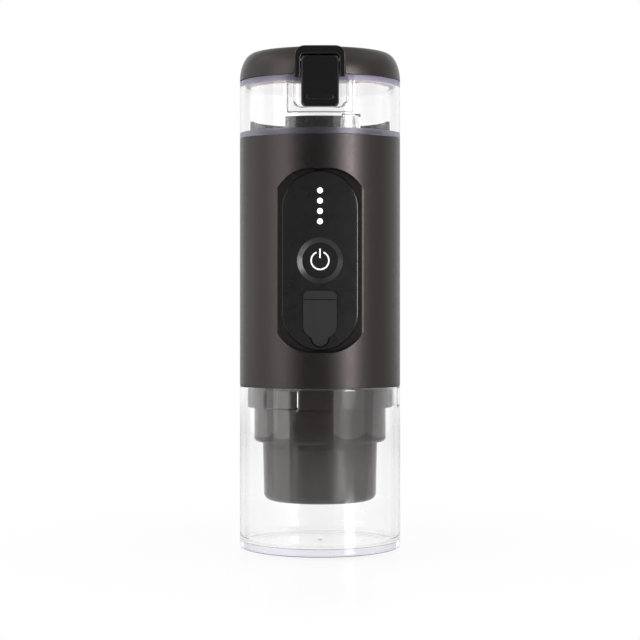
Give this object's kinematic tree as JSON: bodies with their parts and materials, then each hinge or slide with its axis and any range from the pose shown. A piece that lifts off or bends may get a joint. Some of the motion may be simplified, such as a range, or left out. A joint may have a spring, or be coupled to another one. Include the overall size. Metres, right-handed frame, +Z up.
{
  "type": "portable electric espresso maker",
  "caption": "Portable battery espresso maker: clear cup, twist-off capsule chamber, painted body with button panel, clear water tank and a hinged, latched lid.",
  "frame": {"origin": "middle of the foot of the cup, on the surface that the machine stands on", "axes": "+Z up along the axis of the machine; the control panel and latch face -Y; +X to the right as seen from the front"},
  "size_m": [0.071, 0.071, 0.2181],
  "materials": {
    "clear_plastic": "clear moulded copolyester, polished",
    "paint": "satin dark grey-brown metallic paint",
    "gloss_black": "polished black ABS",
    "satin_black": "fine moulded texture",
    "frosted_plastic": "pale frosted plastic",
    "dark_gloss": "polished dark grey-brown plastic",
    "light_guide": "lit white light guide",
    "flap_rubber": "matt moulded rubber",
    "silicone": "matt translucent silicone",
    "steel": "brushed stainless steel",
    "element": "plain cast aluminium",
    "board": "green lacquered circuit board",
    "cell_wrap": "shrink-wrapped steel can",
    "motor_case": "plated steel can"
  },
  "bodies": {
    "cup": {"cup": "clear_plastic"},
    "machine": {"body_sleeve": "paint", "control_panel": "gloss_black", "level_lights": "light_guide", "button_switch": "satin_black", "control_board": "board", "charging_socket": "steel", "socket_strip": "flap_rubber", "water_tank": "clear_plastic", "tank_collar": "satin_black", "tank_seal": "silicone", "top_deck": "satin_black", "heater_plate": "steel", "heating_element": "element", "temperature_sensor": "element", "lid_hinge_pin": "steel", "chassis": "satin_black", "chassis_screws": "steel", "cell_holder": "satin_black", "battery_cells": "cell_wrap", "pump_head": "satin_black", "pump_motor": "motor_case", "inlet_hose": "silicone", "brew_head": "dark_gloss", "brew_gasket": "silicone", "shower_plate": "steel"},
    "chamber": {"bayonet_ring": "dark_gloss", "capsule_chamber": "dark_gloss", "capsule_basket": "satin_black", "outlet_grid": "steel"},
    "lid": {"lid_shell": "paint", "lid_plate": "frosted_plastic", "hinge_leaf": "satin_black", "lid_seal": "silicone", "latch_bezel": "gloss_black", "latch_pin": "steel"},
    "latch": {"latch_flap": "gloss_black"},
    "button": {"power_button": "gloss_black", "power_symbol": "light_guide"},
    "socket_cover": {"socket_flap": "flap_rubber"}
  },
  "joints": [
    {"name": "machine_lift", "type": "slide", "parent": "cup", "child": "machine", "axis": [0, 0, 1], "range_m": [0, 0.06]},
    {"name": "chamber_twist", "type": "hinge", "parent": "machine", "child": "chamber", "pos_m": [0, 0, 0.05], "axis": [0, 0, 1], "range_deg": [0, 50]},
    {"name": "lid_hinge", "type": "hinge", "parent": "machine", "child": "lid", "pos_m": [0, 0.0332, 0.2066], "axis": [-1, 0, 0], "range_deg": [0, 95]},
    {"name": "latch_hinge", "type": "hinge", "parent": "lid", "child": "latch", "pos_m": [0, -0.0329, 0.2119], "axis": [-1, 0, 0], "range_deg": [0, 60]},
    {"name": "button_press", "type": "slide", "parent": "machine", "child": "button", "axis": [0, 1, 0], "range_m": [0, 0.0008], "stiffness_N_per_m": 900},
    {"name": "socket_cover_hinge", "type": "hinge", "parent": "machine", "child": "socket_cover", "pos_m": [0, -0.0309, 0.1097], "axis": [-1, 0, 0], "range_deg": [0, 110]}
  ]
}
